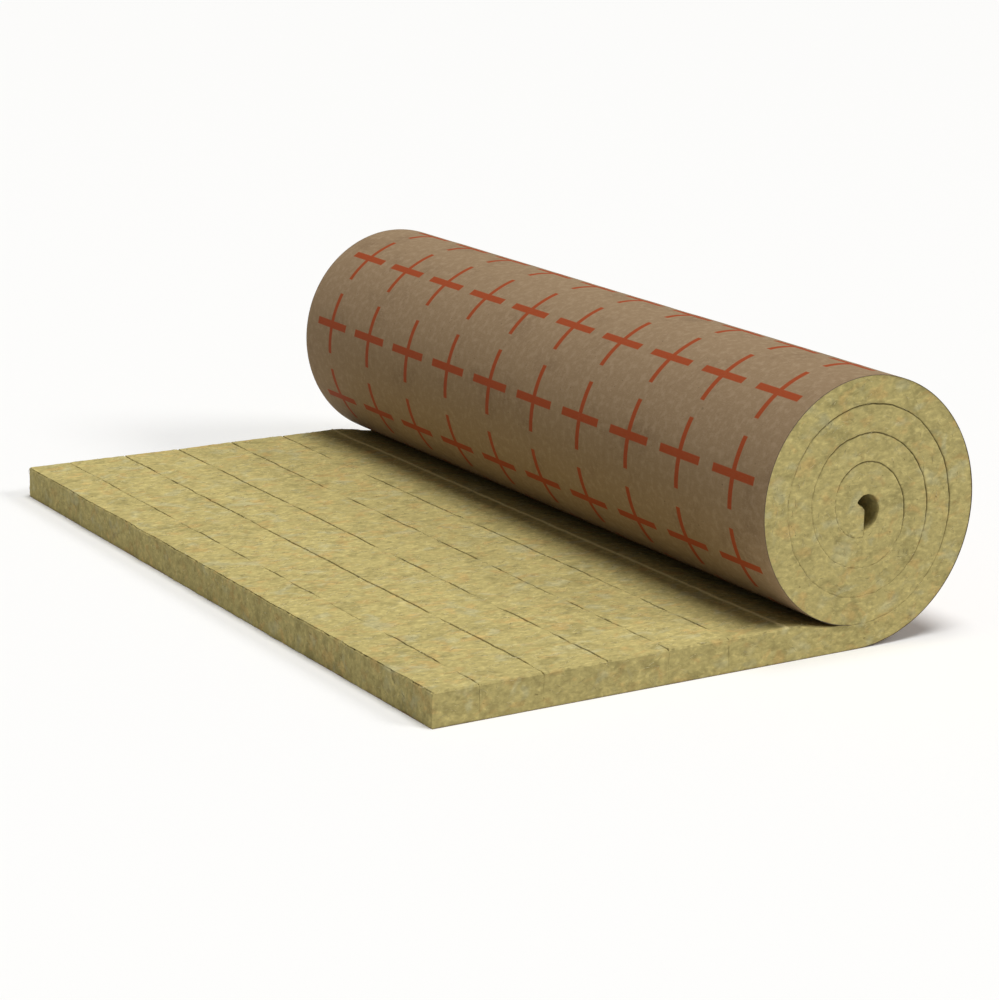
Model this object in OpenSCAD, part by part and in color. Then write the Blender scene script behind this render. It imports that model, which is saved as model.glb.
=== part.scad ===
// Insulation roll: a lamella mat of stone wool on a paper facing, wound four times
// with the paper outside, its free end unrolled flat on the floor.
// X runs along the mat, Y along the roll's axis and Z up. The origin is the middle
// of the footprint, on the floor.

/* [Mat] */
// Width of the mat, which is the length of the roll
mat_w = 1000; // [600:10:1200]
// Thickness of the wool where the mat lies flat
wool_t = 37.2; // [25:0.1:50]
// Thickness of the paper facing
paper_t = 0.4; // [0.2:0.1:0.8]

/* [Flat end] */
// Width of the strip at the mat's free end
first_strip_w = 54.2; // [30:0.1:90]
// Width of each other strip
strip_w = 75.4; // [50:0.1:110]
// Gap between neighbouring strips
strip_gap = 0.3; // [0.1:0.1:1]
// Distance from the last strip to the line under the roll's axis
root_len = 95; // [70:0.5:140]

/* [Roll] */
// Turns of mat in the roll
turns = 4; // [2:1:6]
// Thickness that one rolled turn takes
turn_pitch = 31.1; // [25:0.1:40]
// Radius at which the innermost end of the mat starts
start_r = 30.8; // [24:0.1:40]
// Amount by which the turns swell outwards
swell = 1.8; // [0:0.1:3]
// Amount by which the turns are out of round
oval = 3.2; // [0:0.1:4]
// Direction of the long axis of the turns, in degrees from straight down
oval_dir = 24.5; // [0:0.5:45]
// Angle before straight down at which the roll meets the flat end
nip_lead = 10; // [5:1:14]

/* [Bore] */
// Radius of the bore at its narrow upper corner
nook_r = 11; // [6:0.5:14]
// Angle of that corner, in degrees from straight down
nook_dir = 232; // [200:1:250]
// Wool left between the bore's foot and the innermost paper
foot_wool = 5.3; // [3:0.1:8]
// Depth of the lines that show the turns on both ends
seam_depth = 4; // [1:0.5:10]
// Width of those lines
seam_w = 1; // [0.6:0.1:2]

/* [Hidden] */

strips = 6;
turn_steps = 72;
ease_steps = 12;
cut_clearance = 1;
paper_brown = [0.47, 0.36, 0.25];
wool_khaki = [0.60, 0.53, 0.33];

mat_t = wool_t + paper_t;
roll_r = start_r + turns * turn_pitch;
last_dir = 360 * turns;
nip_dir = 360 - nip_lead;
foot_r = start_r - foot_wool;
foot_dir = 3;
seam_start_dir = nip_dir + 1;

// Outer radius of the mat after it has turned by angle a, from the floor inwards: a
// plain spiral at both ends, which swells and goes out of round within half a turn.
function out_of_round(a) =
    min(1, a / 180, (last_dir - a) / 180) * (swell + oval * cos(2 * (a - oval_dir)));
function turn_r(a) = roll_r - turn_pitch * a / 360 + out_of_round(a);
function angles(from, to, steps) = [for (i = [0 : steps]) from + (to - from) * i / steps];

outer_angles = angles(0, nip_dir, turn_steps);
roll_reach = max([for (a = outer_angles) turn_r(a) * sin(a)]);
tail_len = root_len + first_strip_w + (strips - 1) * strip_w;
roll_x = (tail_len - roll_reach) / 2;
tail_x = roll_x - tail_len;
root_x = roll_x - root_len;

// Point of the section at radius r and angle a, in degrees from straight down.
function polar(a, r) = [roll_x + r * sin(a), roll_r - r * cos(a)];
function reversed(list) = [for (i = [len(list) - 1 : -1 : 0]) list[i]];

// Distance of the joint after strip i from the mat's free end.
function joint_at(i) = i == 0 ? 0 : first_strip_w + (i - 1) * strip_w;

// Top of the mat between the nip and the first joint: pressed down under the roll,
// it rises smoothly to its free thickness.
nip_point = polar(nip_dir, turn_r(nip_dir));
function rise(f) = (1 - cos(180 * f)) / 2;
function root_top(f) = [
    nip_point[0] + (root_x + strip_gap - nip_point[0]) * f,
    nip_point[1] + (mat_t - nip_point[1]) * rise(f)
];

// Radius of the bore at angle a between its foot and its upper corner.
function bore_r(a) = foot_r + (nook_r - foot_r) * (a - foot_dir) / (nook_dir - foot_dir);

// Extrudes a section of the mat over its full width.
module across_mat() {
    rotate([90, 0, 0])
        linear_extrude(mat_w, center = true)
            children();
}

// Extrudes a section into both end faces, to the depth of the turn lines.
module into_both_ends() {
    cut = seam_depth + cut_clearance;
    for (side = [-1, 1])
        translate([0, side * (mat_w / 2 - seam_depth / 2 + cut_clearance / 2), 0])
            rotate([90, 0, 0])
                linear_extrude(cut, center = true)
                    children();
}

module facing_section() {
    outside = [for (a = outer_angles) polar(a, turn_r(a))];
    inside = [for (a = outer_angles) polar(a, turn_r(a) - paper_t)];
    polygon(concat([[tail_x, 0]], outside, reversed(inside), [[tail_x, paper_t]]));
}

module wool_section() {
    under_paper = [for (a = outer_angles) polar(a, turn_r(a) - paper_t)];
    top = [for (i = [0 : ease_steps]) root_top(i / ease_steps)];
    polygon(concat(under_paper, top, [[root_x + strip_gap, paper_t]]));
}

// The mat's innermost edge is cut square, so the bore is a comma with a straight side.
module bore_section() {
    wall = [for (a = angles(foot_dir, nook_dir, turn_steps / 2)) polar(a, bore_r(a))];
    cut_top = [roll_x, roll_r];
    polygon(concat(wall, [cut_top]));
}

// The line between the turns, from just past the paper's end at the nip inwards, then
// up the mat's cut edge to the bore.
module seam_section() {
    path = angles(seam_start_dir, last_dir, turn_steps * turns / 2);
    far_side = [for (a = path) polar(a, turn_r(a) + seam_w / 2)];
    near_side = [for (a = path) polar(a, turn_r(a) - seam_w / 2)];
    polygon(concat(far_side, reversed(near_side)));
    translate([roll_x, roll_r - start_r - seam_w / 2])
        square([2 * seam_w, foot_wool + 2 * seam_w]);
}

// One continuous sheet: under the flat end, then once round the roll to the nip.
module kraft_facing() {
    color(paper_brown)
        across_mat()
            facing_section();
}

// The rolled part of the mat, from the last joint of the flat end inwards.
module rolled_wool() {
    color(wool_khaki)
        difference() {
            across_mat()
                difference() {
                    wool_section();
                    bore_section();
                }
            into_both_ends()
                seam_section();
        }
}

// One wool strip of the flat end, counted from the mat's free end.
module lamella(i) {
    gap_before = i == 1 ? 0 : strip_gap;
    color(wool_khaki)
        translate([tail_x + joint_at(i - 1) + gap_before, -mat_w / 2, paper_t])
            cube([joint_at(i) - joint_at(i - 1) - gap_before, mat_w, wool_t]);
}

kraft_facing();
rolled_wool();
lamella(1);  // lamella_1
lamella(2);  // lamella_2
lamella(3);  // lamella_3
lamella(4);  // lamella_4
lamella(5);  // lamella_5
lamella(6);  // lamella_6
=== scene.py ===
"""Lamella mat of stone wool on printed kraft paper, rolled up with its end laid flat.

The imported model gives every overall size. The wool strips, the wound wool, the paper
facing and the loose fibres are grown by Geometry Nodes trees from those sizes, then
dressed with procedural wool, paper and print.
"""

import logging
import math
from dataclasses import dataclass
from enum import Enum
from typing import Callable, Union

import bpy
from bpy.types import ID, Material, Node, NodeSocket, NodeTree, Object
from mathutils import Matrix, Vector


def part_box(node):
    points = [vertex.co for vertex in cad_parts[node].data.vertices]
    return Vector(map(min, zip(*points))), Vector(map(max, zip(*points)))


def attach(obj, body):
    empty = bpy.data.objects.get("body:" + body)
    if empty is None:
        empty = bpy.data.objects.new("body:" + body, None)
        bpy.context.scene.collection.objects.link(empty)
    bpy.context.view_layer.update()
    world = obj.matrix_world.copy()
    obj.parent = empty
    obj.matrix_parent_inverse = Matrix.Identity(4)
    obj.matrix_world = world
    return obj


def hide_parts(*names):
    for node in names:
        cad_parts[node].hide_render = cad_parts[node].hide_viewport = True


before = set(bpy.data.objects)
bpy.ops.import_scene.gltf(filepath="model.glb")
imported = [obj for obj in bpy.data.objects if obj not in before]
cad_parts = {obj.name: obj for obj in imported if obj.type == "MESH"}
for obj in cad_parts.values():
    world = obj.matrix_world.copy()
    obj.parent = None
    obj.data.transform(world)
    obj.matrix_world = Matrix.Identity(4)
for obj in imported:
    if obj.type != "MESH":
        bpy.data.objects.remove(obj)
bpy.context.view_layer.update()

LOG = logging.getLogger("lamella_mat")
MM = 0.001
EDGE = 0.0001  # how near the end of a 0 to 1 range a point counts as on it
HALF_TURN = 180.0
FULL_TURN = 360.0
Number = Union["Flow", float]
Triple = tuple[float, float, float]


# ---- node arithmetic


def _maths(operation: str) -> Callable[..., "Flow"]:
    """Return a method that puts a flow and any other values through one Math node.

    Args:
        operation: Blender's name for the operation.

    Returns:
        The method.
    """
    def method(flow: "Flow", *others: Number) -> "Flow":
        """Return the node's result."""
        return flow.math(operation, *others)
    return method


class Flow:
    """A value inside a node tree, which Python's arithmetic turns into Math nodes."""

    def __init__(self, tree: NodeTree, socket: NodeSocket) -> None:
        """Wrap an output socket.

        Args:
            tree: The node tree that the socket is in.
            socket: The output that carries the value.
        """
        self.tree = tree
        self.socket = socket

    def math(self, operation: str, *others: Number, first: Number | None = None) -> "Flow":
        """Add one Math node.

        Args:
            operation: Blender's name for the operation.
            others: The second and third values.
            first: The first value, if it isn't this flow.

        Returns:
            The node's result.
        """
        node = self.tree.nodes.new("ShaderNodeMath")
        node.operation = operation
        values = (self if first is None else first, *others)
        for socket, value in zip(node.inputs, values):
            feed(self.tree, socket, value)
        return Flow(self.tree, node.outputs[0])

    __add__ = __radd__ = _maths("ADD")
    __sub__ = _maths("SUBTRACT")
    __mul__ = _maths("MULTIPLY")
    __truediv__ = _maths("DIVIDE")
    size = _maths("ABSOLUTE")  # the value without its sign
    least = _maths("MINIMUM")  # the smaller of two values
    most = _maths("MAXIMUM")  # the larger of two values
    above = _maths("GREATER_THAN")  # 1 where the value is above the other, else 0
    below = _maths("LESS_THAN")  # 1 where the value is below the other, else 0

    def __rsub__(self, other: float) -> "Flow":
        """Return the other less this."""
        return self.math("SUBTRACT", self, first=other)

    def sine(self) -> "Flow":
        """Return the sine of an angle in degrees."""
        return self.math("RADIANS").math("SINE")

    def cosine(self) -> "Flow":
        """Return the cosine of an angle in degrees."""
        return self.math("RADIANS").math("COSINE")

    def ramp(self, start: float, end: float, low: float = 0.0, high: float = 1.0,
             smooth: bool = True) -> "Flow":
        """Map a range of the value onto another, held at both ends.

        Args:
            start: Value that gives low.
            end: Value that gives high.
            low: Result at the start.
            high: Result at the end.
            smooth: Whether to ease in and out.

        Returns:
            The mapped value.
        """
        inputs = {"Value": self, "From Min": start, "From Max": end, "To Min": low, "To Max": high}
        kind = "SMOOTHSTEP" if smooth else "LINEAR"
        node = Bench(self.tree).node("ShaderNodeMapRange", inputs, interpolation_type=kind, clamp=True)
        return Flow(self.tree, node.outputs[0])

    def toward(self, other: Number, share: Number) -> "Flow":
        """Return a blend of this value and another, by a share from 0 to 1."""
        return self + (other - self) * share


def feed(tree: NodeTree, socket: NodeSocket, value: object) -> None:
    """Link a flow to an input socket, or set a plain value on it.

    Args:
        tree: The tree that both are in.
        socket: The input socket.
        value: A flow, an output socket or a plain value.
    """
    if isinstance(value, Flow):
        tree.links.new(value.socket, socket)
    elif isinstance(value, NodeSocket):
        tree.links.new(value, socket)
    else:
        socket.default_value = value


@dataclass(frozen=True)
class Bench:
    """A node tree with short ways to add what the pieces and finishes share."""

    tree: NodeTree

    def node(self, kind: str, inputs: dict[str | int, object] | None = None,
             **settings: object) -> Node:
        """Add a node.

        Args:
            kind: Blender's type name.
            inputs: Values for input sockets, by name or place.
            settings: Attributes of the node itself, set before its inputs.

        Returns:
            The node.
        """
        node = self.tree.nodes.new(kind)
        for name, value in settings.items():
            setattr(node, name, value)
        for name, value in (inputs or {}).items():
            feed(self.tree, node.inputs[name], value)
        return node

    def split(self, vector: object) -> tuple[Flow, Flow, Flow]:
        """Return the three parts of a vector."""
        node = self.node("ShaderNodeSeparateXYZ", {0: vector})
        return tuple(Flow(self.tree, out) for out in node.outputs)

    def join(self, x: Number, y: Number, z: Number) -> NodeSocket:
        """Return a vector made of three values."""
        return self.node("ShaderNodeCombineXYZ", {0: x, 1: y, 2: z}).outputs[0]

    def scaled(self, vector: object, factors: object) -> NodeSocket:
        """Return a vector times another, part by part."""
        node = self.node("ShaderNodeVectorMath", {0: vector, 1: factors}, operation="MULTIPLY")
        return node.outputs[0]

    def noise(self, vector: object, scale: float, detail: float, rough: float, seed: Number,
              warp: float = 0.0) -> Flow:
        """Return smooth noise from about 0 to 1.

        Args:
            vector: Where the noise is read.
            scale: Waves per unit.
            detail: Octaves of finer noise.
            rough: Strength of each finer octave.
            seed: Which noise it is.
            warp: How far the noise bends itself.

        Returns:
            The noise.
        """
        inputs = {"Vector": vector, "W": seed, "Scale": scale, "Detail": detail,
                  "Roughness": rough, "Distortion": warp}
        node = self.node("ShaderNodeTexNoise", inputs, noise_dimensions="4D")
        return Flow(self.tree, node.outputs[0])

    def waver(self, vector: object, scale: float, detail: float, rough: float, seed: float) -> Flow:
        """Return the same noise as noise() gives, but from about -0.5 to 0.5."""
        return self.noise(vector, scale, detail, rough, seed) - 0.5

    def mixed(self, one: object, two: object, share: Number) -> NodeSocket:
        """Return a blend of two colours.

        Args:
            one: The colour at share 0, a socket or three numbers.
            two: The colour at share 1.
            share: The blend from 0 to 1.

        Returns:
            The blended colour.
        """
        node = self.node("ShaderNodeMix", data_type="RGBA")
        feed(self.tree, node.inputs[0], share)
        for socket, value in ((node.inputs[6], one), (node.inputs[7], two)):
            feed(self.tree, socket, (*value, 1.0) if isinstance(value, tuple) else value)
        return node.outputs[2]

    def tinted(self, colour: object, tints: tuple[tuple[Triple, Flow, float, float, float], ...]
               ) -> object:
        """Lay tints over a colour, one after another.

        Args:
            colour: The colour below them all.
            tints: For each, its colour, the noise that places it, the noise's values where
                it starts and where it is full, and its share there.

        Returns:
            The colour with all the tints on it.
        """
        for tint, layer, start, end, most in tints:
            colour = self.mixed(colour, tint, layer.ramp(start, end, 0.0, most))
        return colour


def linked(name: str, data: ID) -> Object:
    """Return a new object at the origin, linked to the scene.

    Args:
        name: The object's name.
        data: Its mesh, light or camera.

    Returns:
        The object.
    """
    thing = bpy.data.objects.new(name, data)
    bpy.context.scene.collection.objects.link(thing)
    return thing


# ---- sizes of the mat


@dataclass(frozen=True)
class MatSizes:
    """Sizes of the mat in metres and degrees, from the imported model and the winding."""

    turns: int = 4
    turn_pitch: float = 31.1 * MM
    start_radius: float = 30.8 * MM
    swell: float = 1.8 * MM
    oval: float = 3.2 * MM
    oval_direction: float = 24.5
    nip_lead: float = 10.0
    root_length: float = 95.0 * MM
    nook_radius: float = 11.0 * MM
    nook_direction: float = 232.0
    nook_closing: float = 18.0
    shut_radius: float = 1.2 * MM
    foot_wool: float = 5.3 * MM
    foot_direction: float = 3.0
    wander: float = 4.0 * MM
    tuck: tuple[float, float] = (352.0, 372.0)  # where the facing goes in between turns
    strips: int = 6

    @property
    def paper(self) -> float:
        """Thickness of the facing, under the flat strips."""
        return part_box("lamella_1")[0][2]

    @property
    def flat_top(self) -> float:
        """Height of the flat strips' tops."""
        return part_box("lamella_1")[1][2]

    @property
    def half_width(self) -> float:
        """Half the mat's width."""
        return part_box("kraft_facing")[1][1]

    @property
    def free_end(self) -> float:
        """X of the mat's free end."""
        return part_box("kraft_facing")[0][0]

    @property
    def joints(self) -> list[float]:
        """X of each edge of the flat strips, from the free end to the root."""
        edges = [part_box(f"lamella_{i + 1}")[1][0] for i in range(self.strips)]
        return [self.free_end, *edges]

    @property
    def axis(self) -> float:
        """X of the roll's axis."""
        return self.joints[-1] + self.root_length

    @property
    def roll_radius(self) -> float:
        """Outer radius of the roll where it leaves the floor."""
        return self.start_radius + self.turns * self.turn_pitch

    @property
    def last_angle(self) -> float:
        """Angle of the mat's innermost edge."""
        return FULL_TURN * self.turns

    @property
    def flat_length(self) -> float:
        """Length of the mat that lies on the floor."""
        return self.axis - self.free_end

    def turn_radius(self, angle: float) -> float:
        """Return the mat's outer radius, as Winding.radius does in nodes.

        Args:
            angle: Degrees along the winding.

        Returns:
            The radius.
        """
        ease = min(1.0, angle / HALF_TURN, (self.last_angle - angle) / HALF_TURN)
        waver = self.swell + self.oval * math.cos(math.radians(2 * (angle - self.oval_direction)))
        return self.roll_radius - self.turn_pitch * angle / FULL_TURN + ease * waver

    @property
    def nip(self) -> tuple[float, float]:
        """X and Z of the line where the roll meets the flat strips.

        Returns:
            The two, in metres.
        """
        angle = FULL_TURN - self.nip_lead
        radius, turn = self.turn_radius(angle), math.radians(angle)
        return self.axis + radius * math.sin(turn), self.roll_radius - radius * math.cos(turn)


SIZES = MatSizes()


@dataclass(frozen=True)
class Winding:
    """Formulas of the winding, built as nodes in one tree."""

    bench: Bench
    sizes: MatSizes

    def radius(self, angle: Flow) -> Flow:
        """Return the mat's outer radius, swollen and oval between its first and last half turn.

        Args:
            angle: Degrees along the winding.

        Returns:
            The radius.
        """
        s = self.sizes
        ease = (angle / HALF_TURN).least((s.last_angle - angle) / HALF_TURN).least(1.0)
        waver = ((angle - s.oval_direction) * 2.0).cosine() * s.oval + s.swell
        return s.roll_radius - angle * (s.turn_pitch / FULL_TURN) + ease * waver

    def length(self, angle: Flow) -> Flow:
        """Return the length of mat wound, summed over the radius.

        Args:
            angle: Degrees along the winding.

        Returns:
            The length from the start of the winding.
        """
        s = self.sizes
        ease = (angle / HALF_TURN).least(1.0)
        even = angle * (s.roll_radius - angle * (s.turn_pitch / (2.0 * FULL_TURN)))
        grown = (angle - HALF_TURN / 2.0).most(ease * angle * 0.5) * s.swell
        swing = s.oval * HALF_TURN / 2.0 / math.pi
        waver = ((angle - s.oval_direction) * 2.0).sine() * ease * swing
        return (even + grown + waver) * (math.pi / HALF_TURN)

    def bore(self, turned: Flow) -> Flow:
        """Return the bore's radius, which falls evenly from its foot round to its nook.

        Args:
            turned: Degrees from straight down.

        Returns:
            The radius, nearly nothing past the nook.
        """
        s = self.sizes
        foot = s.start_radius - s.foot_wool
        fall = (foot - s.nook_radius) / (s.nook_direction - s.foot_direction)
        wall = foot - (turned - s.foot_direction) * fall
        closing = turned.ramp(s.nook_direction, s.nook_direction + s.nook_closing)
        return wall.toward(s.shut_radius, closing)

    def place(self, angle: Flow, depth: Flow, flat: Flow) -> tuple[Flow, Flow]:
        """Return X and Z of a point of the mat.

        Args:
            angle: Degrees wound, 0 on the flat part.
            depth: Distance in from the mat's outer face.
            flat: Distance before the winding starts, 0 on the winding.

        Returns:
            The point's X and Z.
        """
        s = self.sizes
        radius = self.radius(angle) - depth
        x = s.axis - flat + radius * angle.sine()
        z = s.roll_radius - radius * angle.cosine()
        return x, z

    def sway(self, x: Flow, z: Flow) -> Flow:
        """Return how far the wound turns wander in or out at a place in the roll."""
        spot = self.bench.join(x, 0.0, z)
        return self.bench.waver(spot, 38.0, 3.0, 0.6, 31.0) * self.sizes.wander

    def flat_top(self, x: Flow) -> Flow:
        """Return the height of the flat strips' tops, which the roll presses down.

        Args:
            x: Place along the mat.

        Returns:
            The height above the floor.
        """
        s = self.sizes
        nip_x, nip_z = s.nip
        free = x.ramp(nip_x, s.joints[-1], nip_z, s.flat_top)
        under = s.roll_radius - ((s.axis - x) * (s.axis - x) * -1.0
                                 + s.turn_radius(FULL_TURN) ** 2).math("SQRT")
        return free.toward(under, x.above(nip_x))


# ---- growing pieces


class Recipe:
    """A Geometry Nodes tree with named inputs, grown into a plain mesh."""

    sharp_bend: float = 0.8  # radians between faces from which their edge is sharp

    def __init__(self, name: str, inputs: dict[str, float], finish: Material) -> None:
        """Start the tree.

        Args:
            name: Name of the tree.
            inputs: Named number inputs and their usual values.
            finish: Material of everything the tree makes.
        """
        self.tree = bpy.data.node_groups.new(name, "GeometryNodeTree")
        self.bench = Bench(self.tree)
        self.finish = finish
        face = self.tree.interface
        self.keys: dict[str, str] = {}
        for label, value in inputs.items():
            socket = face.new_socket(name=label, in_out="INPUT", socket_type="NodeSocketFloat")
            socket.default_value = value
            self.keys[label] = socket.identifier
        self.surface = face.new_socket(name="Surface", in_out="INPUT", socket_type="NodeSocketObject")
        face.new_socket(name="Geometry", in_out="OUTPUT", socket_type="NodeSocketGeometry")
        source = self.tree.nodes.new("NodeGroupInput")
        self.given = {label: Flow(self.tree, source.outputs[label]) for label in inputs}
        self.given_surface = source.outputs["Surface"]

    def block(self, cells: tuple[int, int, int]) -> tuple[object, Flow, Flow, Flow]:
        """Add a closed box of cells whose corners run from 0 to 1 on each axis.

        Args:
            cells: Number of cells along each axis.

        Returns:
            The mesh, and the three shares of each point.
        """
        counts = {f"Vertices {axis}": n + 1 for axis, n in zip("XYZ", cells)}
        cube = self.bench.node("GeometryNodeMeshCube", {"Size": (1.0, 1.0, 1.0), **counts})
        place = self.bench.node("GeometryNodeInputPosition").outputs[0]
        u, v, w = self.bench.split(place)
        return cube.outputs["Mesh"], u + 0.5, v + 0.5, w + 0.5

    def close(self, mesh: object, place: object = None, **kept: object) -> None:
        """End the tree: keep values on the points, move them, realise, shade and dress.

        Args:
            mesh: The geometry.
            place: Where each point goes, if they move.
            kept: Values to keep on the points: a flow for a number, a socket for a vector.
        """
        node = self.bench.node
        for name, value in kept.items():
            kind = "FLOAT" if isinstance(value, Flow) else "FLOAT_VECTOR"
            store = node("GeometryNodeStoreNamedAttribute", {"Geometry": mesh, "Name": name},
                         data_type=kind)
            feed(self.tree, next(s for s in store.inputs if s.name == "Value" and s.enabled), value)
            mesh = store.outputs[0]
        if place is not None:
            mesh = node("GeometryNodeSetPosition", {"Geometry": mesh, "Position": place}).outputs[0]
        real = node("GeometryNodeRealizeInstances", {0: mesh})
        smooth = node("GeometryNodeSetShadeSmooth", {0: real.outputs[0]})
        bend = Flow(self.tree, node("GeometryNodeInputMeshEdgeAngle").outputs[0])
        crisp = node("GeometryNodeSetShadeSmooth",
                     {"Geometry": smooth.outputs[0], "Selection": bend.above(self.sharp_bend),
                      "Shade Smooth": False}, domain="EDGE")
        dress = node("GeometryNodeSetMaterial", {0: crisp.outputs[0], "Material": self.finish})
        node("NodeGroupOutput", {0: dress.outputs[0]})

    def grow(self, name: str, values: dict[str, float] | None = None,
             surface: Object | None = None) -> Object:
        """Run the tree and return its result as a plain mesh object.

        Args:
            name: Name of the new piece.
            values: Named inputs that differ from their usual values.
            surface: Object that the tree reads, if it scatters on one.

        Returns:
            The new object, at the origin.
        """
        seedling = linked(f"{name}_seedling", bpy.data.meshes.new(f"{name}_seed"))
        modifier = seedling.modifiers.new("grow", "NODES")
        modifier.node_group = self.tree
        for label, value in (values or {}).items():
            modifier[self.keys[label]] = value
        if surface is not None:
            modifier[self.surface.identifier] = surface
        graph = bpy.context.evaluated_depsgraph_get()
        grown = seedling.evaluated_get(graph)
        mesh = bpy.data.meshes.new_from_object(grown, preserve_all_data_layers=True, depsgraph=graph)
        seedling.modifiers.remove(modifier)
        bpy.data.objects.remove(seedling)
        mesh.name = name
        return linked(name, mesh)


def crowded(share: Flow, crowding: float) -> Flow:
    """Move evenly spaced shares towards both ends, so that edges get small cells."""
    wave = (share * FULL_TURN).sine()
    return share - wave * (crowding / (2.0 * math.pi))


def on_either(share: Flow) -> Flow:
    """Return 1 on points at either end of a 0 to 1 range, else 0."""
    return (share - 0.5).size().above(0.5 - EDGE)


# ---- finishes


def matte(name: str, roughness: float, specular: float) -> tuple[Material, Bench, Node]:
    """Start a matt finish.

    Args:
        name: The material's name.
        roughness: The shader's roughness.
        specular: The shader's specular level.

    Returns:
        The material, its tree's bench and its shader.
    """
    material = bpy.data.materials.new(name)
    material.use_nodes = True
    bsdf = material.node_tree.nodes["Principled BSDF"]
    bsdf.inputs["Roughness"].default_value = roughness
    bsdf.inputs["Specular IOR Level"].default_value = specular
    return material, Bench(material.node_tree), bsdf


@dataclass(frozen=True)
class WoolLayer:
    """One layer of noise in the wool, longer along the fibres than across them."""

    scale: float
    along: float
    seed: float

    def read(self, bench: Bench, place: object) -> Flow:
        """Return the layer's noise at a place, from about 0 to 1."""
        stretched = bench.scaled(place, (self.scale / self.along, self.scale, self.scale))
        return bench.noise(stretched, 1.0, 2.0, 0.5, self.seed, 0.8)


@dataclass(frozen=True)
class StoneWool:
    """Matted stone wool: khaki fibre with pale, orange and olive patches."""

    khaki: Triple = (0.503, 0.422, 0.168)
    olive: Triple = (0.400, 0.338, 0.133)
    straw: Triple = (0.590, 0.501, 0.206)
    orange: Triple = (0.54, 0.385, 0.145)
    chalk: Triple = (0.50, 0.465, 0.255)
    white: Triple = (0.80, 0.68, 0.33)
    shadow: Triple = (0.075, 0.055, 0.020)
    patches: WoolLayer = WoolLayer(34.0, 1.3, 1.0)
    warmth: WoolLayer = WoolLayer(60.0, 1.5, 4.0)
    chalking: WoolLayer = WoolLayer(42.0, 1.3, 9.0)
    mottling: WoolLayer = WoolLayer(120.0, 1.5, 14.0)
    streaks: WoolLayer = WoolLayer(230.0, 1.7, 2.0)
    grains: WoolLayer = WoolLayer(700.0, 1.8, 6.0)
    pits: WoolLayer = WoolLayer(330.0, 1.5, 12.0)
    roughness: float = 0.95
    specular: float = 0.12
    relief: float = 2.0 * MM

    def material(self) -> Material:
        """Return the material, in which the fibres lie mostly along X.

        Returns:
            The material. It darkens where joint_shade is above 0, with painted shade, and pales below 0,
            with pale fibre and a painted highlight.
        """
        material, bench, bsdf = matte("stone_wool_fibre", self.roughness, self.specular)
        shade = bench.node("ShaderNodeAttribute", attribute_name="joint_shade").outputs["Fac"]
        shade = Flow(bench.tree, shade)
        place = bench.node("ShaderNodeTexCoord").outputs["Object"]
        patch, warm, cool, mottle, streak, grain, pit = (
            layer.read(bench, place) for layer in (
                self.patches, self.warmth, self.chalking, self.mottling, self.streaks,
                self.grains, self.pits))

        colour = bench.mixed(self.olive, self.khaki, patch.ramp(0.30, 0.50))
        # The pits are small dark specks in the shadow colour: painted shade of small pores.
        colour = bench.tinted(colour, ((self.straw, streak, 0.52, 0.74, 0.50),
                                       (self.orange, warm, 0.52, 0.70, 0.75),
                                       (self.chalk, cool, 0.54, 0.70, 0.60),
                                       (self.shadow, pit, 0.66, 0.78, 0.60)))
        light = (mottle.ramp(0.32, 0.68, 0.87, 1.12, False)
                 * streak.ramp(0.32, 0.68, 0.87, 1.12, False)
                 * grain.ramp(0.30, 0.70, 0.95, 1.04, False))
        colour = bench.scaled(colour, bench.join(light, light, light))
        colour = bench.mixed(colour, self.shadow, shade.most(0.0))
        # Below 0 the wool turns pale: pale fibre, partly a painted highlight.
        colour = bench.mixed(colour, self.white, (shade * -1.0).most(0.0))
        feed(bench.tree, bsdf.inputs["Base Color"], colour)

        height = mottle * 0.5 + streak * 0.35 + grain * 0.15
        bump = bench.node("ShaderNodeBump", {"Height": height, "Strength": 0.4, "Distance": self.relief})
        feed(bench.tree, bsdf.inputs["Normal"], bump.outputs[0])
        return material


@dataclass(frozen=True)
class CrossPrint:
    """Cutting marks on the facing: a grid of plain crosses."""

    pitch_along: float = 101.0 * MM
    pitch_across: float = 97.3 * MM
    first_along: float = 1069.0 * MM
    first_across: float = -2.0 * MM
    arm_across: float = 36.5 * MM
    arm_along: float = 39.8 * MM
    arm_shift: float = 2.0 * MM
    half_stroke_across: float = 4.7 * MM
    half_stroke_along: float = 3.6 * MM
    soft_edge: float = 0.7 * MM
    printed_half: float = 480.0 * MM

    def mask(self, bench: Bench, along: Flow, across: Flow) -> Flow:
        """Return 1 on the printed strokes and 0 between them.

        Args:
            bench: Not used; the flows carry their own tree.
            along: Distance from the mat's free end.
            across: Distance from the mat's middle line.

        Returns:
            The mask.
        """
        u = self._from_middle(along - self.first_along, self.pitch_along)
        v = self._from_middle(across - self.first_across - self.pitch_across / 2.0,
                              self.pitch_across)
        printed = across.size().below(self.printed_half)
        level = self._inside(u.size(), self.half_stroke_across) * self._inside(
            v.size(), self.arm_across)
        upright = self._inside(v.size(), self.half_stroke_along) * self._inside(
            (u + self.arm_shift).size(), self.arm_along)
        return level.most(upright) * printed

    def _from_middle(self, distance: Flow, pitch: float) -> Flow:
        """Return the distance from the nearest middle of a row of marks."""
        turns = (distance / pitch + 0.5).math("FLOORED_MODULO", 1.0)
        return (turns - 0.5) * pitch

    def _inside(self, distance: Flow, half: float) -> Flow:
        """Return 1 within half a size of the middle, falling softly to 0."""
        return distance.ramp(half - self.soft_edge, half + self.soft_edge, 1.0, 0.0)


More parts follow.
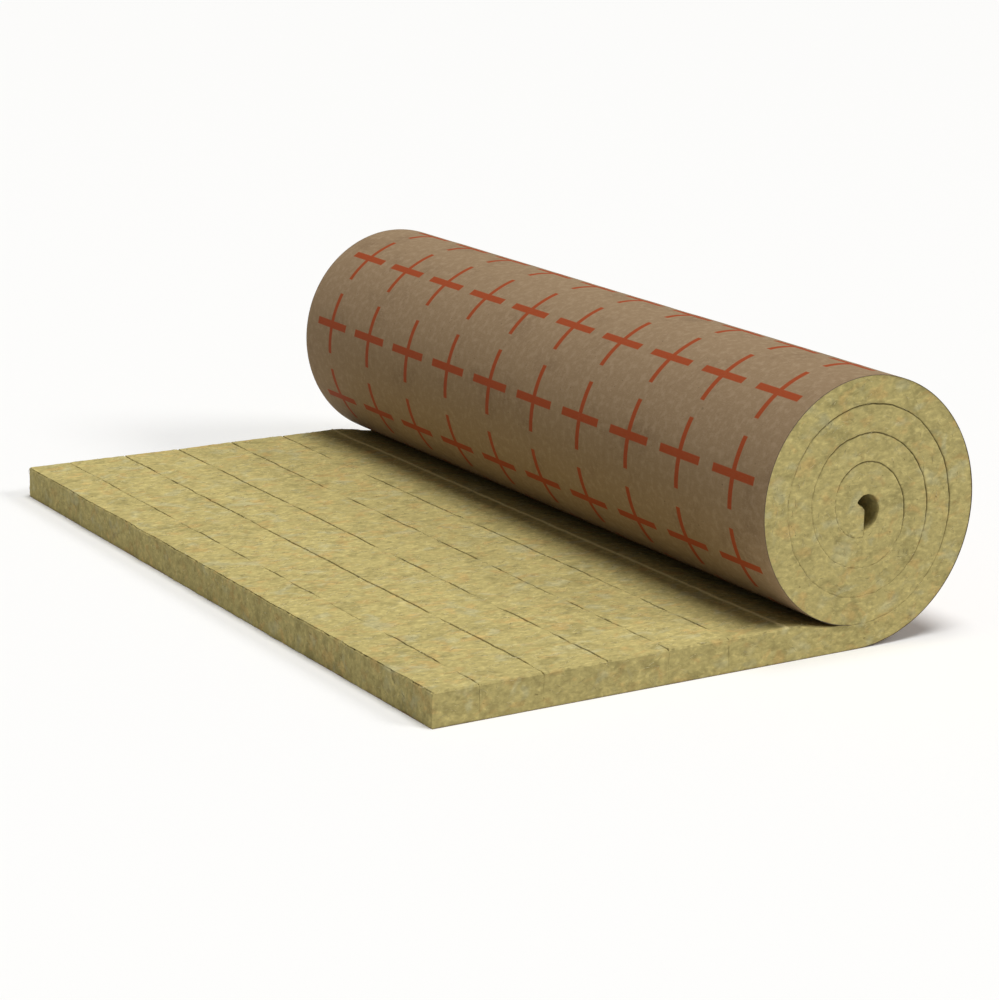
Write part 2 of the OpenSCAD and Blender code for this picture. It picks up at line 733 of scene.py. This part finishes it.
@dataclass(frozen=True)
class KraftPaper:
    """Brown kraft paper with faint fibres, small flecks and a print of crosses."""

    brown: Triple = (0.303, 0.208, 0.119)
    pale: Triple = (0.400, 0.289, 0.181)
    dark: Triple = (0.232, 0.153, 0.086)
    fleck: Triple = (0.09, 0.07, 0.05)
    edge: Triple = (0.15, 0.115, 0.08)
    ink: Triple = (0.345, 0.062, 0.017)
    edge_from: float = 499.9 * MM
    roughness: float = 0.75
    specular: float = 0.15
    relief: float = 0.25 * MM
    print_of: CrossPrint = CrossPrint()

    def material(self) -> Material:
        """Return the material, which reads the sheet's own coordinates in metres.

        Returns:
            The material. It needs sheet_place: along, across, and 1 on the inner face.
        """
        material, bench, bsdf = matte("printed_kraft_paper", self.roughness, self.specular)
        sheet = bench.node("ShaderNodeAttribute", attribute_name="sheet_place").outputs["Vector"]
        along, across, inside = bench.split(sheet)

        cloud = bench.noise(sheet, 14.0, 3.0, 0.6, 1.0)
        blotch = bench.noise(sheet, 120.0, 3.0, 0.6, 21.0)
        fibre = bench.noise(bench.scaled(sheet, (900.0, 160.0, 300.0)), 1.0, 3.0, 0.6, 3.0, 0.5)
        cross_fibre = bench.noise(bench.scaled(sheet, (150.0, 800.0, 300.0)), 1.0, 3.0, 0.6, 5.0)
        spots = bench.noise(sheet, 300.0, 1.0, 0.4, 8.0)
        pale_spots = bench.noise(sheet, 210.0, 1.0, 0.4, 18.0)
        big_spots = bench.noise(bench.scaled(sheet, (90.0, 70.0, 90.0)), 1.0, 1.0, 0.4, 14.0)

        colour = bench.mixed(self.dark, self.brown, cloud.ramp(0.25, 0.50))
        colour = bench.tinted(colour, ((self.pale, blotch, 0.45, 0.68, 0.60),
                                       (self.pale, fibre, 0.50, 0.74, 0.55),
                                       (self.dark, cross_fibre, 0.50, 0.74, 0.55),
                                       (self.pale, pale_spots, 0.74, 0.80, 0.75),
                                       (self.fleck, spots, 0.71, 0.78, 0.60),
                                       (self.fleck, big_spots, 0.79, 0.83, 0.50)))
        # The ink wears thin along some of the paper's fibres; no shade is painted here.
        ink_wear_and_side_shade = fibre.ramp(0.35, 0.60, 0.93, 1.0)
        ink = self.print_of.mask(bench, along, across) * ink_wear_and_side_shade * (1.0 - inside)
        colour = bench.mixed(colour, self.ink, ink)
        # The sheet's cut edges are painted dark: partly the edge's own colour, partly painted shade
        # beside it.
        colour = bench.mixed(colour, self.edge, across.size().above(self.edge_from))
        feed(bench.tree, bsdf.inputs["Base Color"], colour)
        bump = bench.node("ShaderNodeBump", {"Height": fibre + cross_fibre, "Strength": 0.18,
                                             "Distance": self.relief})
        feed(bench.tree, bsdf.inputs["Normal"], bump.outputs[0])
        return material


@dataclass(frozen=True)
class LooseFibre:
    """Single stone fibres that stand off the cut faces."""

    straw: Triple = (0.66, 0.59, 0.33)
    olive: Triple = (0.30, 0.26, 0.11)
    roughness: float = 0.8
    specular: float = 0.5

    def material(self) -> Material:
        """Return the material, light on some fibres and dark on others.

        Returns:
            The material.
        """
        material, bench, bsdf = matte("loose_stone_fibre", self.roughness, self.specular)
        place = bench.node("ShaderNodeTexCoord").outputs["Object"]
        share = bench.noise(place, 260.0, 1.0, 0.5, 3.0).ramp(0.40, 0.60)
        feed(bench.tree, bsdf.inputs["Base Color"], bench.mixed(self.olive, self.straw, share))
        return material


# ---- pieces


@dataclass(frozen=True)
class CutWool:
    """How uneven a cut face of the wool is."""

    fibre: float = 2.0 * MM
    heave: float = 1.6 * MM

    def lean(self, bench: Bench, place: object) -> Flow:
        """Return how far a cut face stands in or out at a place.

        Args:
            bench: The tree to build in.
            place: The point on the true face.

        Returns:
            The distance, positive outwards.
        """
        fine = bench.waver(bench.scaled(place, (95.0, 150.0, 150.0)), 1.0, 3.0, 0.65, 2.0)
        broad = bench.waver(bench.scaled(place, (14.0, 14.0, 14.0)), 1.0, 2.0, 0.5, 7.0)
        return fine * self.fibre + broad * self.heave


@dataclass
class FlatStrips:
    """Wool strips of the flat end, and the one that the roll rests on."""

    sizes: MatSizes
    finish: Material
    cut: CutWool = CutWool()
    cells: tuple[int, int, int] = (26, 250, 12)
    crowding: Triple = (0.50, 0.35, 0.40)
    calm: float = 30.0 * MM  # length before the nip over which the top grows even
    gap: float = 0.02 * MM
    chip: float = 2.6 * MM
    wander: float = 6.0 * MM
    unevenness: float = 2.0 * MM
    free_edge_wear: float = 2.8 * MM
    side_edge_wear: tuple[float, float] = (0.2 * MM, 2.2 * MM)
    top_edge_wear: float = 2.0 * MM
    line_width: float = 4.0 * MM
    line_rise: float = 0.8 * MM
    dark_joint: float = 0.60
    pale_joint: float = -1.0

    def recipe(self) -> Recipe:
        """Return the tree that makes one strip between two joints.

        Returns:
            The tree. A joint's shade is above 0 for a dark line and below 0 for a pale line of pale
            fibre with a painted highlight.
        """
        inputs = {"Start": 0.0, "End": 0.075, "Seed": 1.0, "Start joint": 1.0,
                  "End joint": 1.0, "Start shade": 1.0, "End shade": 1.0}
        made = Recipe("wool_strip", inputs, self.finish)
        bench, given, s = made.bench, made.given, self.sizes
        mesh, u, v, w = made.block(self.cells)

        x = given["Start"].toward(given["End"], crowded(u, self.crowding[0]))
        across = (crowded(v, self.crowding[1]) - 0.5) * (2.0 * s.half_width)
        top = Winding(bench, s).flat_top(x)
        height = s.paper + crowded(w, self.crowding[2]) * (top - s.paper)
        rest = x.ramp(s.nip[0] - self.calm, s.nip[0], 1.0, 0.0)

        at_start, at_end = u.below(EDGE), u.above(1.0 - EDGE)
        at_side, at_top = on_either(v), w.above(1.0 - EDGE)
        joint = at_start * given["Start joint"] + at_end * given["End joint"]
        free_edge = at_start * (1.0 - given["Start joint"])
        pale = (at_start * given["Start shade"] + at_end * given["End shade"]).least(0.0).size()
        line, plan = bench.join(x, across, height * 0.4), bench.join(x, across, 0.0)
        open_here = bench.noise(line, 17.0, 2.0, 0.6, 3.0).ramp(0.38, 0.52)
        torn = bench.noise(line, 130.0, 3.0, 0.7, 7.0 + given["Seed"])
        lean = self.cut.lean(bench, bench.join(x, across, height))

        wave = (bench.waver(plan, 22.0, 3.0, 0.6, 17.0)
                + bench.waver(plan, 85.0, 2.0, 0.6, 23.0) * 0.35)
        inset = joint * (w * 0.8 + 0.2) * (1.0 - at_side * 0.75) * (
            self.gap + open_here * torn * self.chip * 0.5) * (1.0 - pale * 0.9)
        x_out = x + wave * self.wander * rest + (at_start - at_end) * inset
        x_out = x_out - free_edge * (lean * 1.3 - at_top * torn * self.free_edge_wear)

        least_wear, more_wear = self.side_edge_wear
        edge_in = at_top * (least_wear + torn * more_wear) * rest
        across_out = across + (v - 0.5).math("SIGN") * at_side * (lean - edge_in)
        swell = bench.waver(bench.join(x * 0.7, across, 0.0), 9.0, 2.0, 0.5, 11.0)
        dip = joint * open_here * torn * self.chip * (1.0 - pale) - pale * self.line_rise
        dip = dip + (at_side + free_edge) * torn * self.top_edge_wear
        height_out = height + at_top * (lean * 0.9 + swell * self.unevenness - dip) * rest

        on_top = at_top * (open_here * 0.85 + 0.15) * torn.ramp(0.34, 0.54)
        on_side = at_side * w.ramp(0.2, 0.9) * torn.ramp(0.44, 0.60) * 0.9
        shade = joint * on_top.most(on_side) * (
            at_start * given["Start shade"].most(0.0) + at_end * given["End shade"].most(0.0))
        # A pale joint gets a pale band on top: pale torn fibre, with a painted highlight along its
        # raised lip.
        near_start = (x - given["Start"]).ramp(0.0, self.line_width, 1.0, 0.0)
        near_end = (given["End"] - x).ramp(0.0, self.line_width, 1.0, 0.0)
        shade = shade + at_top * (near_start * given["Start shade"].least(0.0)
                                  + near_end * given["End shade"].least(0.0))
        # Painted shade: the side faces and the free end's cut face are darkened, in blotches, fading out
        # towards the nip.
        ink_wear_and_side_shade = torn.ramp(0.35, 0.65) * 0.24 * x.ramp(0.0, s.nip[0], 1.0, 0.0)
        shade = shade + ink_wear_and_side_shade * (at_side * 0.8).most(free_edge)
        # Painted shade: dark bits along the top edges of the cut end and the sides, as in small notches.
        bits = torn.ramp(0.50, 0.66) * (free_edge * 0.9).most(at_side * 0.6)
        shade = shade + at_top * (1.0 - joint) * bits
        made.close(mesh, bench.join(x_out, across_out, height_out), joint_shade=shade,
                   grain=bench.join(1.0, 0.0, 0.0))
        return made

    def build(self) -> list[Object]:
        """Build every strip from one tree.

        Returns:
            The strips, from the free end to the one under the roll.
        """
        recipe, edges = self.recipe(), [*self.sizes.joints, self.sizes.nip[0]]
        shades = [0.0] + [self.dark_joint] * (len(edges) - 3) + [self.pale_joint, 0.0]
        pieces = []
        for i, (start, end) in enumerate(zip(edges, edges[1:])):
            last = i == len(edges) - 2
            name = "wool_strip_at_nip" if last else f"wool_strip_{i + 1}"
            values = {"Start": start, "End": end, "Seed": i + 1.0,
                      "Start joint": float(i > 0), "End joint": float(not last),
                      "Start shade": shades[i], "End shade": shades[i + 1]}
            pieces.append(recipe.grow(name, values))
        return pieces


@dataclass
class WoundWool:
    """The wool inside the roll, wound as one strip of mat round the bore."""

    sizes: MatSizes
    finish: Material
    cut: CutWool = CutWool()
    cells: tuple[int, int, int] = (1300, 10, 16)
    crowding: tuple[float, float] = (0.45, 0.40)  # in the roll, and flat before it
    degrees_per_metre: float = 370.0
    rim: float = 6.0 * MM
    seam: float = 0.30 * MM
    seam_dip: float = 0.9 * MM
    clear_direction: float = 148.0
    outside_until: float = 350.0  # degrees for which its outer face is the roll's own
    mean_radius: float = 0.62  # as a share of the roll's
    bore_wear: float = 1.0 * MM
    bore_shade: float = 0.34

    def recipe(self) -> Recipe:
        """Return the tree that winds the wool.

        Returns:
            The tree. U runs along the mat, V across it and W in from its outer face.
        """
        made = Recipe("wound_wool", {"Seam": self.seam}, self.finish)
        bench, given, s = made.bench, made.given, self.sizes
        winding = Winding(bench, s)
        mesh, u, v, w = made.block(self.cells)

        lead = (s.axis - s.nip[0]) * self.degrees_per_metre
        wound = u * (s.last_angle + lead) - lead
        angle = wound.most(0.0)
        flat = wound.least(0.0) * (-1.0 / self.degrees_per_metre)
        is_flat = flat.above(0.0)

        radius = winding.radius(angle)
        next_turn = radius - winding.radius((angle + FULL_TURN).least(s.last_angle))
        turned = angle - (s.last_angle - FULL_TURN)
        to_bore = radius - winding.bore(turned.most(0.0))
        in_last = turned.ramp(-1.0, 3.0)
        inner = next_turn.toward(to_bore, in_last)
        inner = inner.toward(winding.flat_top(s.axis - flat), is_flat)

        rim = self.rim / (2.0 * s.half_width)
        spread = (v.ramp(0.0, 0.1, 0.0, rim, False) + v.ramp(0.9, 1.0, 0.0, rim, False)
                  + v.ramp(0.1, 0.9, 0.0, 1.0 - 2.0 * rim, False))
        across = (spread - 0.5) * (2.0 * s.half_width)
        share = crowded(w, self.crowding[0]).toward(crowded(w, self.crowding[1]), is_flat)
        arc = angle * (s.roll_radius * self.mean_radius * math.pi / HALF_TURN) - flat
        at_end, at_seam, outer = on_either(v), on_either(w), w.below(0.5)
        clear = (angle - self.clear_direction).cosine().ramp(-0.15, 0.50)
        broken = bench.noise(bench.join(arc, w * 0.01, 0.0), 60.0, 3.0, 0.7, 9.0)
        slack = bench.noise(bench.join(arc, 0.0, 0.0), 24.0, 3.0, 0.7, 5.0).ramp(0.3, 0.7)
        slit = 1.0 - at_end * (1.0 - (clear * 0.8 + 0.2) * (slack * 0.7 + 0.3))
        outside = outer * angle.below(self.outside_until)
        outer_gap = (s.paper + given["Seam"] * slack) * slit.most(outside)
        inner_gap = given["Seam"] * (slack + 0.3) * slit * (1.0 - in_last)
        depth = outer_gap + share * (inner - outer_gap - inner_gap * (1.0 - is_flat))
        x, z = winding.place(angle, depth, flat)
        inside = share.toward(1.0, angle.ramp(*s.tuck)) * wound.ramp(0.0, 12.0)
        x, z = winding.place(angle, depth + winding.sway(x, z) * inside, flat)

        # Seams between turns: dark is painted shade in the gaps; pale is pale fibre, partly a painted
        # highlight.
        dark = broken.ramp(0.44, 0.57).toward(1.0, clear * 0.7) * (clear * 0.30 + 0.50)
        pale = broken.ramp(0.50, 0.34) * (1.0 - clear) * 0.65
        in_roll = 1.0 - outer * angle.below(s.tuck[0])
        in_roll = in_roll * wound.ramp(-4.0, 6.0) * (1.0 - w.above(0.5) * in_last)
        in_bore = w.above(1.0 - EDGE) * in_last
        bitten = at_seam * in_roll * (clear * 0.4 + 0.5) * self.seam_dip
        lean = self.cut.lean(bench, bench.join(x, across, z)) - bitten - in_bore * self.bore_wear
        across = across + (v - 0.5).math("SIGN") * at_end * lean

        shade = (at_seam * in_roll * at_end * (dark * 0.85 - pale)
                 + in_bore * (1.0 - at_end) * self.bore_shade)
        made.close(mesh, bench.join(x, across, z), joint_shade=shade,
                   grain=bench.join(angle.cosine(), 0.0, angle.sine()))
        return made

    def build(self) -> Object:
        """Return the wound wool."""
        return self.recipe().grow("wound_wool")


@dataclass
class PaperFacing:
    """The continuous paper facing: flat under the strips, then wound with the wool."""

    sizes: MatSizes
    finish: Material
    cells: tuple[int, int, int] = (380, 70, 1)
    laid_until: float = 0.06  # share of the cells along the sheet that lie flat
    shown_until: float = 0.62  # share of them that ends with the outer turn
    overhang: float = 0.6 * MM
    tuck_in: float = 3.4 * MM
    ragged: float = 3.0 * MM
    waviness: float = 0.9 * MM

    def recipe(self) -> Recipe:
        """Return the tree that lays and winds the sheet.

        Returns:
            The tree. U runs along the sheet, V across it and W through it.
        """
        made = Recipe("paper_facing", {"Waviness": self.waviness}, self.finish)
        bench, given, s = made.bench, made.given, self.sizes
        winding = Winding(bench, s)
        mesh, u, v, w = made.block(self.cells)

        flat = u.ramp(0.0, self.laid_until, s.flat_length, 0.0, False)
        angle = (u.ramp(self.laid_until, self.shown_until, 0.0, FULL_TURN, False)
                 + u.ramp(self.shown_until, 1.0, 0.0, s.last_angle - FULL_TURN, False))
        across = (crowded(v, 0.3) - 0.5) * (2.0 * s.half_width)
        arc = s.flat_length - flat + winding.length(angle)

        sway = bench.waver(bench.join(arc, across * 0.8, 0.0), 7.0, 3.0, 0.55, 2.0)
        dent = bench.waver(bench.join(arc, across, 0.0), 26.0, 2.0, 0.5, 6.0)
        free = angle.ramp(12.0, 60.0) * angle.ramp(335.0, 350.0, 1.0, 0.0)
        near_edge = (v - 0.5).size().ramp(0.46, 0.5, 1.0, 0.35)
        ripple = (sway + dent * 0.35) * given["Waviness"] * free * near_edge * 2.0
        tucked = angle.ramp(s.tuck[0], 366.0)
        jag = bench.waver(bench.join(arc, v, 0.0), 60.0, 3.0, 0.7, 4.0)
        out = self.overhang - tucked * (self.tuck_in - jag * self.ragged)
        across = across * (1.0 + out * (1.0 / s.half_width))
        depth = w * s.paper * 0.9 - ripple
        x, z = winding.place(angle, depth, flat)
        depth = depth + winding.sway(x, z) * angle.ramp(*s.tuck)
        x, z = winding.place(angle, depth, flat)
        made.close(mesh, bench.join(x, across, z), sheet_place=bench.join(arc, across, w))
        return made

    def build(self) -> Object:
        """Return the facing."""
        return self.recipe().grow("kraft_paper_facing")


@dataclass
class FibreFuzz:
    """Loose fibres scattered on a wool surface, lying mostly along its grain."""

    finish: Material
    density: float = 7000.0
    length: float = 9.0 * MM
    thickness: float = 0.16 * MM
    lowest: float = 8.0 * MM
    facing: float = 0.7  # least cosine between a face and the way it has to look
    stray: tuple[Triple, Triple] = ((-0.15, -0.28, -0.75), (0.15, 0.05, 0.75))  # radians
    reach: tuple[float, float] = (0.45, 1.25)  # shortest and longest, as shares of length
    bow: Triple = (0.0, 0.10, 0.06)

    def recipe(self) -> Recipe:
        """Return the tree that scatters bent fibres.

        Returns:
            The tree. Top and Free end say whether fibres grow on those faces too.
        """
        inputs = {"Density": self.density, "Length": self.length, "Seed": 1.0,
                  "Top": 1.0, "Free end": 0.0}
        made = Recipe("fibre_fuzz", inputs, self.finish)
        bench, node, given = made.bench, made.bench.node, made.given
        info = node("GeometryNodeObjectInfo", {"Object": made.given_surface})
        normal = bench.split(node("GeometryNodeInputNormal").outputs[0])
        height = bench.split(node("GeometryNodeInputPosition").outputs[0])[2]
        facing = self.facing
        seen = (normal[1].size().above(facing).most(normal[2].above(facing) * given["Top"])
                .most((normal[0] * -1.0).above(facing) * given["Free end"]))
        scatter = node("GeometryNodeDistributePointsOnFaces",
                       {"Mesh": info.outputs["Geometry"], "Density": given["Density"],
                        "Selection": seen * height.above(self.lowest)}, distribute_method="RANDOM")
        feed(made.tree, scatter.inputs["Seed"],
             node("FunctionNodeFloatToInt", {0: given["Seed"]}).outputs[0])
        grain = node("GeometryNodeInputNamedAttribute", {"Name": "grain"}, data_type="FLOAT_VECTOR")
        upright = node("FunctionNodeAlignRotationToVector",
                       {"Vector": scatter.outputs["Normal"]}, axis="Z")
        laid = node("FunctionNodeAlignRotationToVector",
                    {"Rotation": upright.outputs[0], "Vector": grain.outputs[0]},
                    axis="X", pivot_axis="Z")
        stray = node("FunctionNodeRandomValue", dict(enumerate(self.stray)),
                     data_type="FLOAT_VECTOR")
        turned = node("FunctionNodeRotateRotation", {0: laid.outputs[0], 1: stray.outputs[0]},
                      rotation_space="LOCAL")
        shortest, longest = self.reach
        reach = node("FunctionNodeRandomValue", {"Seed": 5, 2: shortest, 3: longest},
                     data_type="FLOAT")
        bend = node("GeometryNodeCurveQuadraticBezier",
                    {"Resolution": 3, "Start": (-0.5, 0.0, 0.0), "Middle": self.bow,
                     "End": (0.5, 0.0, 0.0)})
        section = node("GeometryNodeCurvePrimitiveCircle",
                       {"Resolution": 3, "Radius": self.thickness / self.length})
        tube = node("GeometryNodeCurveToMesh",
                    {"Curve": bend.outputs[0], "Profile Curve": section.outputs[0],
                     "Fill Caps": True})
        scale = Flow(made.tree, reach.outputs[1]) * given["Length"]
        place = node("GeometryNodeInstanceOnPoints",
                     {"Points": scatter.outputs["Points"], "Instance": tube.outputs[0],
                      "Rotation": turned.outputs[0], "Scale": bench.join(scale, scale, scale)})
        made.close(place.outputs[0])
        return made

    def build(self, surfaces: list[Object]) -> list[Object]:
        """Scatter fibres on each surface.

        Args:
            surfaces: The strips, from the one at the free end, then the wound wool.

        Returns:
            The fibres, one piece for each surface.
        """
        recipe = self.recipe()
        return [recipe.grow(f"loose_fibres_{i + 1}",
                            {"Seed": i + 1.0, "Top": float(surface is not surfaces[-1]),
                             "Free end": float(i == 0)}, surface)
                for i, surface in enumerate(surfaces)]


# ---- studio


class Softness(Enum):
    """How wide a soft light looks from the floor, in degrees."""

    BROAD = 29.0
    NARROW = 18.0


@dataclass(frozen=True)
class StudioLight:
    """A far soft light that falls evenly on the whole floor."""

    name: str
    azimuth: float
    elevation: float
    strength: float
    softness: Softness
    distance: float = 4.0
    colour: Triple = (1.0, 0.995, 0.98)

    def build(self) -> None:
        """Add the light, pointing at the floor from its azimuth and elevation."""
        turn, rise = math.radians(self.azimuth), math.radians(self.elevation)
        away = Vector((math.cos(turn) * math.cos(rise), math.sin(turn) * math.cos(rise),
                       math.sin(rise)))
        lamp = bpy.data.lights.new(self.name, "SUN")
        lamp.energy = self.strength
        lamp.angle = math.radians(self.softness.value)
        lamp.color = self.colour
        light = linked(self.name, lamp)
        light.location = away * self.distance
        light.rotation_euler = away.to_track_quat("Z", "Y").to_euler()


@dataclass(frozen=True)
class CameraStand:
    """A long-lens camera, low over the mat's free end."""

    azimuth: float = -31.94
    elevation: float = 14.99
    tilt: float = 0.945
    distance: float = 3.3432
    aim: Triple = (0.01957, -0.04583, 0.07852)
    focal_length: float = 103.88
    sensor_width: float = 36.0
    sight: float = 100.0

    def build(self) -> None:
        """Add the camera and make it the scene's own."""
        turn, rise = math.radians(self.azimuth), math.radians(self.elevation)
        back = Vector((math.sin(turn) * math.cos(rise), -math.cos(turn) * math.cos(rise),
                       math.sin(rise)))
        right = Vector((math.cos(turn), math.sin(turn), 0.0))
        up = back.cross(right)
        roll = math.radians(self.tilt)
        right, up = (right * math.cos(roll) + up * math.sin(roll),
                     up * math.cos(roll) - right * math.sin(roll))
        lens = bpy.data.cameras.new("camera")
        lens.lens = self.focal_length
        lens.sensor_width = self.sensor_width
        lens.clip_end = self.sight
        camera = linked("camera", lens)
        turned = Matrix((right, up, back)).transposed().to_4x4()
        camera.matrix_world = Matrix.Translation(Vector(self.aim) + back * self.distance) @ turned
        bpy.context.scene.camera = camera


@dataclass(frozen=True)
class Studio:
    """Pale floor, soft light and camera."""

    floor_colour: Triple = (0.92, 0.92, 0.92)
    floor_half: float = 30.0
    sky: float = 0.16
    backdrop: float = 0.98
    lights: tuple[StudioLight, ...] = (
        StudioLight("top_light", -60.0, 83.0, 2.43, Softness.BROAD),
        StudioLight("front_light", -50.0, 38.0, 0.80, Softness.NARROW),
    )

    def build(self) -> None:
        """Add the floor, the lights, the sky and the camera."""
        CameraStand().build()
        bpy.context.scene.view_settings.view_transform = "Standard"
        self._floor()
        for light in self.lights:
            light.build()
        self._sky()

    def _sky(self) -> None:
        """Add dim light from all round, behind a backdrop as pale as the floor."""
        world = bpy.data.worlds.new("studio")
        world.use_nodes = True
        bench = Bench(world.node_tree)
        background = world.node_tree.nodes["Background"]
        background.inputs[0].default_value = (1.0, 1.0, 1.0, 1.0)
        seen = bench.node("ShaderNodeLightPath").outputs["Is Camera Ray"]
        strength = Flow(world.node_tree, seen) * (self.backdrop - self.sky) + self.sky
        feed(world.node_tree, background.inputs[1], strength)
        bpy.context.scene.world = world

    def _floor(self) -> None:
        """Add the floor, a single square far wider than the view."""
        signs = ((-1.0, -1.0), (1.0, -1.0), (1.0, 1.0), (-1.0, 1.0))
        corners = [(x * self.floor_half, y * self.floor_half, 0.0) for x, y in signs]
        mesh = bpy.data.meshes.new("floor")
        mesh.from_pydata(corners, [], [(0, 1, 2, 3)])
        material, _, bsdf = matte("floor_paint", 0.9, 0.1)
        bsdf.inputs["Base Color"].default_value = (*self.floor_colour, 1.0)
        mesh.materials.append(material)
        linked("floor", mesh)


# ---- the whole mat


@dataclass
class LamellaMat:
    """The whole mat: strips, wound wool, facing and loose fibres."""

    sizes: MatSizes

    def build(self) -> list[Object]:
        """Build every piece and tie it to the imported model.

        Returns:
            All the pieces.
        """
        wool = StoneWool().material()
        strips = FlatStrips(self.sizes, wool).build()
        wound = WoundWool(self.sizes, wool).build()
        facing = PaperFacing(self.sizes, KraftPaper().material()).build()
        tufts = FibreFuzz(LooseFibre().material()).build([*strips, wound])

        for i, strip in enumerate(strips[:-1]):
            self._tie(strip, f"lamella_{i + 1}")
        self._tie(wound, "rolled_wool")
        self._tie(strips[-1])
        self._tie(facing, "kraft_facing")
        for tuft in tufts:
            self._tie(tuft)
        return [*strips, wound, facing, *tufts]

    def _tie(self, piece: Object, node: str | None = None) -> None:
        """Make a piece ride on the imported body.

        Args:
            piece: The piece.
            node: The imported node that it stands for, if it stands for one.
        """
        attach(piece, "root")
        if node is not None:
            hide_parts(node)


def triangles(piece: Object) -> int:
    """Return the number of triangles in a mesh piece."""
    return sum(len(face.vertices) - 2 for face in piece.data.polygons)


def main() -> None:
    """Build the mat and its studio."""
    logging.basicConfig(level=logging.INFO, format="%(name)s: %(message)s")
    Studio().build()
    pieces = LamellaMat(SIZES).build()
    for piece in pieces:
        LOG.info("%s: %d triangles", piece.name, triangles(piece))
    LOG.info("whole mat: %d triangles", sum(triangles(piece) for piece in pieces))


if __name__ == "__main__":
    main()
